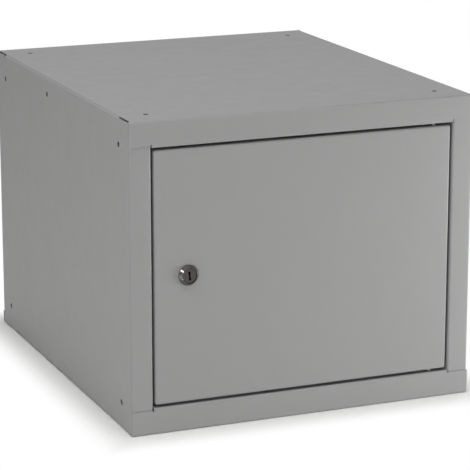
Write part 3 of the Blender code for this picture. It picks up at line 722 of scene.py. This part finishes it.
@dataclass
class CamLock:
    """The cam lock: its nickelled face with the keyway, and what clamps it behind the door."""

    bore_radius: float = 6.8 * MM
    counterbore_radius: float = 8.6 * MM
    counterbore_depth: float = 2.6 * MM
    head_top_radius: float = 8.9 * MM
    head_rim: float = 1.4 * MM
    head_edge_round: float = 0.14 * MM
    head_edge_segments: int = 4
    seat_gap: float = 0.3 * MM
    barrel_radius: float = 9.5 * MM
    flat_from_axis: float = 8.0 * MM
    thread_pitch: float = 1.0 * MM
    thread_depth: float = 0.55 * MM
    crest_share: float = 0.125
    root_share: float = 0.5
    plug_radius: float = 6.5 * MM
    plug_rim_radius: float = 8.3 * MM
    plug_rim_thickness: float = 1.5 * MM
    plug_rim_round: float = 0.6 * MM
    plug_rim_segments: int = 5
    tail_across_flats: float = 7.0 * MM
    tapped_radius: float = 2.3 * MM
    tapped_depth: float = 8.0 * MM
    keyway_width: float = 1.8 * MM
    keyway_height: float = 9.8 * MM
    keyway_depth: float = 9.0 * MM
    keyway_edge_round: float = 0.3 * MM
    ward_width: float = 0.7 * MM
    ward_height: float = 2.4 * MM
    ward_from_axis: float = 3.2 * MM
    wafer_count: int = 4
    wafer_thickness: float = 0.8 * MM
    wafer_pitch: float = 1.1 * MM
    wafer_reach: float = 1.9 * MM
    wafer_start: float = 4.6 * MM
    wafer_side_gap: float = 0.15 * MM
    wafer_edge_round: float = 0.13 * MM
    nut_chamfer_share: float = 0.12
    nut_chamfer_degrees: float = 30.0
    edge_round: float = 0.25 * MM
    edge_segments: int = 2
    turned_smooth_degrees: float = 30.0
    nut_smooth_degrees: float = 25.0
    centre: Vector = field(init=False)
    face: float = field(init=False)
    end: float = field(init=False)
    head_radius: float = field(init=False)

    def __post_init__(self) -> None:
        """Reads the lock's place and reach from its node and the door's skin."""
        low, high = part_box("lock_body")
        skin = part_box("door_pan")[0].y
        self.centre = Vector(((low.x + high.x) / 2, skin, (low.z + high.z) / 2))
        self.face = low.y - skin
        self.end = high.y - skin
        self.head_radius = (high.x - low.x) / 2

    def build(self) -> None:
        """Builds the lock's pieces from the face to the cam."""
        self.housing()
        self.plug()
        self.wafers()
        self.nut()
        for node, body in (
            ("lock_washer", Body.DOOR),
            ("cam_washer", Body.LOCK_CYLINDER),
            ("lock_cam", Body.LOCK_CYLINDER),
            ("cam_screw", Body.LOCK_CYLINDER),
        ):
            rounded_node(node, "plated", ZINC, body, self.edge_round, self.edge_segments)

    def bar(self, across: Span, along: Span, up: Span) -> bmesh.types.BMesh:
        """Makes a square bar that lies the way the lock's axis does.

        Args:
            across: How far to the right of the axis its two sides are, in either order.
            along: The y of its front and of its back.
            up: How far above the axis its foot and its top are, in either order.

        Returns:
            The closed mesh, in place.
        """
        sides = sorted(self.centre.x + distance for distance in across)
        levels = sorted(self.centre.z + distance for distance in up)
        low, high = (Vector(corner) for corner in zip(sides, along, levels))
        return block(low, high)

    def thread(self, start: float, end: float, radius: float) -> list[tuple[float, float]]:
        """Outlines a screw thread, drawn as rings a pitch apart.

        Args:
            start: Where the thread starts along the axis.
            end: Where it ends.
            radius: The radius over the crests.

        Returns:
            Points of radius and distance along the axis.
        """
        count = int((end - start) / self.thread_pitch)
        points = []
        for turn in range(count):
            crest = start + turn * self.thread_pitch
            root = crest + self.thread_pitch * self.root_share
            points.append((radius, crest))
            points.append((radius, crest + self.thread_pitch * self.crest_share))
            points.append((radius - self.thread_depth, root))
        points.append((radius, start + count * self.thread_pitch))
        return points

    def housing(self) -> None:
        """Builds the coned head with its recess and the threaded barrel with its two flats."""
        step = self.face + self.counterbore_depth
        head_back = -self.seat_gap
        thread_end = self.end - self.thread_pitch * self.root_share
        outline = [
            (self.counterbore_radius, self.face),
            (self.head_top_radius, self.face),
            (self.head_radius, head_back - self.head_rim),
            (self.head_radius, head_back),
            *self.thread(head_back, thread_end, self.barrel_radius),
            (self.barrel_radius - self.thread_depth, self.end),
            (self.bore_radius, self.end),
            (self.bore_radius, step),
            (self.counterbore_radius, step),
        ]
        bm = turned(outline, self.centre)
        skin = self.centre.y
        at_face = before(skin + self.face + WELD_DISTANCE)
        soften(bm, self.head_edge_round, self.head_edge_segments, at_face)
        for side in (-1, 1):
            flat = self.bar(
                (side * self.flat_from_axis, side * self.head_radius),
                (skin - self.seat_gap, skin + self.end + self.thread_pitch),
                (-self.head_radius, self.head_radius),
            )
            bm = combined(bm, flat, Join.CUT)
        smooth = self.turned_smooth_degrees
        # The collar's nickel is drawn dark: its colour holds a painted dark reflection.
        finished("lock_housing", bm, NICKEL, Body.DOOR, ["lock_body"], smooth)

    def keyway_tool(self, front: float, back: float) -> bmesh.types.BMesh:
        """Makes the shape that cuts the keyway: a slot with two wards.

        Args:
            front: The y of its front.
            back: The y of its back.

        Returns:
            The closed mesh, in place.
        """
        half_width, half_height = self.keyway_width / 2, self.keyway_height / 2
        slot = self.bar((-half_width, half_width), (front, back), (-half_height, half_height))
        for side in (-1, 1):
            outer = side * (half_width + self.ward_width)
            middle = -side * self.ward_from_axis
            levels = (middle - self.ward_height / 2, middle + self.ward_height / 2)
            ward = self.bar((0, outer), (front, back), levels)
            slot = combined(slot, ward, Join.ADD)
        return slot

    def plug(self) -> None:
        """Builds the plug with its rimmed face, its keyway, its square tail and the tapped hole."""
        low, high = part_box("lock_plug")
        skin = self.centre.y
        face = low.y - skin
        outline = [
            (0, face),
            (self.plug_rim_radius, face),
            (self.plug_rim_radius, face + self.plug_rim_thickness),
            (self.plug_radius, face + self.plug_rim_thickness),
            (self.plug_radius, self.end),
            (0, self.end),
        ]
        bm = turned(outline, self.centre)
        at_face = before(low.y + WELD_DISTANCE)
        soften(bm, self.plug_rim_round, self.plug_rim_segments, at_face)
        half = self.tail_across_flats / 2
        tail = self.bar((-half, half), (skin + self.end - CUT_MARGIN, high.y), (-half, half))
        soften(tail, self.edge_round)
        bm = combined(bm, tail, Join.ADD)
        reach = self.tapped_depth + CUT_MARGIN
        hole = [(0, 0), (self.tapped_radius, 0), (self.tapped_radius, reach), (0, reach)]
        start = Vector((self.centre.x, high.y - self.tapped_depth, self.centre.z))
        bm = combined(bm, turned(hole, start), Join.CUT)
        keyway = self.keyway_tool(low.y - CUT_MARGIN, low.y + self.keyway_depth)
        bm = combined(bm, keyway, Join.CUT)
        near = self.keyway_height / 2 + WELD_DISTANCE

        def at_keyway(edge: bmesh.types.BMEdge) -> bool:
            """Tells whether an edge lies on the face, beside the keyway."""
            beside = all((vert.co - self.centre).xz.length < near for vert in edge.verts)
            return beside and at_face(edge)

        soften(bm, self.keyway_edge_round, self.edge_segments, at_keyway)
        smooth = self.turned_smooth_degrees
        # The plug's face takes the darker copy of the nickel, whose colour is painted shade.
        finished("lock_plug_face", bm, PLUG_NICKEL_PAINTED_SHADE, Body.LOCK_CYLINDER, ["lock_plug"], smooth)

    def wafers(self) -> None:
        """Builds the brass wafers deep in the keyway, in turn at its foot and at its top."""
        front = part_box("lock_plug")[0].y + self.wafer_start
        half_width = self.keyway_width / 2 - self.wafer_side_gap
        whole = bmesh.new()
        for number in range(self.wafer_count):
            side = 1 if number % 2 else -1
            start = front + number * self.wafer_pitch
            outer = side * self.keyway_height / 2
            plate = self.bar(
                (-half_width, half_width),
                (start, start + self.wafer_thickness),
                (outer - side * self.wafer_reach, outer),
            )
            soften(plate, self.wafer_edge_round, self.edge_segments)
            mesh = mesh_of("wafer", plate)
            whole.from_mesh(mesh)
            bpy.data.meshes.remove(mesh)
        finished("lock_wafers", whole, BRASS, Body.LOCK_CYLINDER)

    def nut(self) -> None:
        """Builds the hexagon nut, its corners trimmed by a cone at each end."""
        low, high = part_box("lock_nut")
        thickness = high.y - low.y
        inner = self.barrel_radius + self.seat_gap
        corner = (high.z - low.z) / 2
        rim = corner * (1 - self.nut_chamfer_share)
        slope = math.tan(math.radians(self.nut_chamfer_degrees))
        # The cones go on past the nut's ends and corners, so that the two shapes share no face.
        widest = corner + CUT_MARGIN
        rise, past = (widest - rim) * slope, CUT_MARGIN * slope
        outline = [
            (inner, -past),
            (rim - CUT_MARGIN, -past),
            (widest, rise),
            (widest, thickness - rise),
            (rim - CUT_MARGIN, thickness + past),
            (inner, thickness + past),
        ]
        trim = turned(outline, Vector((self.centre.x, low.y, self.centre.z)))
        bm = combined(node_copy("lock_nut"), trim, Join.OVERLAP)
        smooth = self.nut_smooth_degrees
        finished("lock_nut_chamfered", bm, ZINC, Body.DOOR, ["lock_nut"], smooth)


@dataclass
class PivotHinge:
    """The two hinge pins, with their bushes and backing plates."""

    pin_edge_round: float = 0.35 * MM
    plate_edge_round: float = 0.3 * MM
    bush_edge_round: float = 0.2 * MM

    def build(self) -> None:
        """Builds the pieces of the upper and the lower pivot."""
        for level in ("upper", "lower"):
            for kind, finish, body, radius in (
                ("hinge_pin", ZINC, Body.CABINET, self.pin_edge_round),
                ("pivot_plate", ZINC, Body.DOOR, self.plate_edge_round),
                ("hinge_bush", NYLON, Body.DOOR, self.bush_edge_round),
            ):
                rounded_node(f"{level}_{kind}", "finished", finish, body, radius)


@dataclass
class StopBuffers:
    """The two rubber buffers on the stop lip, with rounded pads."""

    edge_round: float = 0.3 * MM

    def build(self) -> None:
        """Builds both buffers."""
        for node in ("lower_stop_buffer", "upper_stop_buffer"):
            rounded_node(node, "moulded", RUBBER, Body.CABINET, self.edge_round)


@dataclass(frozen=True)
class Softbox:
    """A soft lamp: where it stands and what it faces, its size in metres and its power in watts.

    Its last field tells whether metal and paint mirror it.
    """

    name: str
    place: tuple[float, float, float]
    aim: tuple[float, float, float]
    size: tuple[float, float]
    power: float
    mirrored: bool = True

    def build(self) -> None:
        """Adds the lamp."""
        data = bpy.data.lights.new(self.name, "AREA")
        data.shape = "RECTANGLE"
        data.size, data.size_y = self.size
        data.energy = self.power
        lamp = placed(self.name, data)
        lamp.visible_camera = False
        lamp.visible_glossy = self.mirrored
        place, aim = Vector(self.place), Vector(self.aim)
        turn = (aim - place).to_track_quat("-Z", "Y").to_matrix().to_4x4()
        lamp.matrix_world = Matrix.Translation(place) @ turn


@dataclass
class Studio:
    """The pale floor, the soft lamps and the camera."""

    camera_place: tuple[float, float, float] = (-1.0065, -2.4716, 0.8384)
    camera_azimuth: float = -22.4535
    camera_elevation: float = 14.4501
    lens: float = 175.95
    sensor_width: float = 36.0
    clip_reach: Span = (0.1, 50.0)
    floor_size: float = 12.0
    floor_squares: int = 8
    floor_colour: str = "#fafaf8"
    floor_roughness: float = 0.9
    # How far from the locker's foot the floor has become plain white.
    white_reach: float = 0.05
    # How much of the background's light metal and paint mirror.
    mirrored_share: float = 0.5
    background_colour: str = "#ffffff"
    background_light: float = 1.0
    # How much of it falls on the locker.
    room_light: float = 0.05
    lamps: tuple[Softbox, ...] = (
        Softbox(
            "overhead_softbox", (-0.3, -0.5, 2.4), (0.0, 0.0, 0.3), (2.2, 2.2), 43.0, mirrored=False
        ),
        Softbox("front_softbox", (-0.2, -1.6, 2.2), (0.0, 0.0, 0.2), (1.2, 1.2), 3.5),
        Softbox("low_left_strip", (-1.6, -0.9, 0.2), (-0.2, -0.2, 0.1), (0.8, 0.3), 0.8),
        Softbox("low_front_strip", (-1.3, -1.6, 0.4), (-0.2, -0.2, 0.1), (0.5, 0.4), 7.5),
        Softbox("ground_right_strip", (0.85, -0.65, 0.06), (0.1, -0.24, 0.06), (0.4, 0.1), 4.8),
        Softbox("left_kicker", (-1.76, -0.50, 1.33), (-0.14, -0.24, 0.18), (0.3, 0.4), 3.2),
        Softbox(
            "back_right_fill", (1.9, 1.5, 0.5), (0.1, 0.1, 0.15), (1.6, 0.9), 30.0, mirrored=False
        ),
    )

    def build(self) -> None:
        """Builds the studio round the locker."""
        bpy.context.scene.view_settings.view_transform = "Standard"
        self.floor()
        self.world()
        for lamp in self.lamps:
            lamp.build()
        self.camera()

    def seen(self, tree: bpy.types.NodeTree) -> bpy.types.NodeSocket:
        """Works out how much of the background a ray takes.

        Args:
            tree: The node tree of the floor or of the world.

        Returns:
            The socket of a value: 1 for the camera's rays, less for rays that mirror the
            background or pass through glass to it, and 0 for rays that only light things.
        """
        rays = add_node(tree, "ShaderNodeLightPath").outputs
        mirrored = add_node(
            tree,
            "ShaderNodeMath",
            {"operation": "MAXIMUM"},
            links={0: rays["Is Glossy Ray"], 1: rays["Is Transmission Ray"]},
        )
        shown = add_node(
            tree,
            "ShaderNodeMath",
            {"operation": "MULTIPLY_ADD"},
            {1: self.mirrored_share},
            {0: mirrored.outputs["Value"], 2: rays["Is Camera Ray"]},
        )
        return shown.outputs["Value"]

    def whiteness(self, tree: bpy.types.NodeTree) -> bpy.types.NodeSocket:
        """Works out how far the floor's paper shows plain white.

        Args:
            tree: The paper's node tree.

        Returns:
            The socket of a value: 0 under the locker, rising within white_reach of its foot to
            what seen gives.
        """
        place = add_node(tree, "ShaderNodeTexCoord")
        across = add_node(
            tree,
            "ShaderNodeVectorMath",
            {"operation": "ABSOLUTE"},
            links={0: place.outputs["Object"]},
        )
        low, high = CAD_BOX
        beyond = add_node(
            tree,
            "ShaderNodeVectorMath",
            {"operation": "SUBTRACT"},
            {1: (*((high - low) / 2).xy, 0)},
            {0: across.outputs["Vector"]},
        )
        apart = add_node(tree, "ShaderNodeSeparateXYZ", links={"Vector": beyond.outputs["Vector"]})
        nearest = add_node(
            tree,
            "ShaderNodeMath",
            {"operation": "MAXIMUM"},
            links={0: apart.outputs["X"], 1: apart.outputs["Y"]},
        )
        share = add_node(
            tree,
            "ShaderNodeMapRange",
            {"interpolation_type": "SMOOTHSTEP"},
            {"From Max": self.white_reach},
            {"Value": nearest.outputs["Value"]},
        )
        shown = add_node(
            tree,
            "ShaderNodeMath",
            {"operation": "MULTIPLY"},
            links={0: share.outputs["Result"], 1: self.seen(tree)},
        )
        return shown.outputs["Value"]

    def floor(self) -> None:
        """Lays the paper floor: the locker's shadow at its foot, and plain white beyond it."""
        bm = bmesh.new()
        squares = self.floor_squares
        bmesh.ops.create_grid(bm, x_segments=squares, y_segments=squares, size=self.floor_size / 2)
        mesh = mesh_of("studio_floor", bm)
        paper = bpy.data.materials.new("white_studio_paper")
        paper.use_nodes = True
        tree = paper.node_tree
        shader = tree.nodes["Principled BSDF"]
        shader.inputs["Base Color"].default_value = linear(self.floor_colour)
        shader.inputs["Roughness"].default_value = self.floor_roughness
        white = add_node(tree, "ShaderNodeEmission")
        mixed = add_node(
            tree,
            "ShaderNodeMixShader",
            links={
                "Fac": self.whiteness(tree),
                1: shader.outputs["BSDF"],
                2: white.outputs["Emission"],
            },
        )
        tree.links.new(mixed.outputs["Shader"], tree.nodes["Material Output"].inputs["Surface"])
        mesh.materials.append(paper)
        obj = placed("studio_floor", mesh)

    def world(self) -> None:
        """Sets the white background and the even light that fills the room."""
        world = bpy.data.worlds.new("studio")
        bpy.context.scene.world = world
        world.use_nodes = True
        tree = world.node_tree
        strength = add_node(
            tree,
            "ShaderNodeMapRange",
            values={"To Min": self.room_light, "To Max": self.background_light},
            links={"Value": self.seen(tree)},
        )
        background = tree.nodes["Background"]
        background.inputs["Color"].default_value = linear(self.background_colour)
        tree.links.new(strength.outputs["Result"], background.inputs["Strength"])

    def camera(self) -> None:
        """Adds the camera at the photograph's place, as fitted to the case's corners."""
        data = bpy.data.cameras.new("camera")
        data.lens = self.lens
        data.sensor_width = self.sensor_width
        data.clip_start, data.clip_end = self.clip_reach
        camera = placed("camera", data)
        camera.location = self.camera_place
        camera.rotation_euler = (
            math.radians(90 - self.camera_elevation),
            0,
            math.radians(self.camera_azimuth),
        )
        bpy.context.scene.camera = camera


def main() -> None:
    """Builds the locker's finished pieces and the studio."""
    logging.basicConfig(level=logging.INFO, format="%(name)s: %(message)s")
    for part in (SheetMetal(), SeamBeads(), PivotHinge(), StopBuffers(), CamLock(), Studio()):
        LOG.info("building %s", type(part).__name__)
        part.build()


if __name__ == "__main__":
    main()
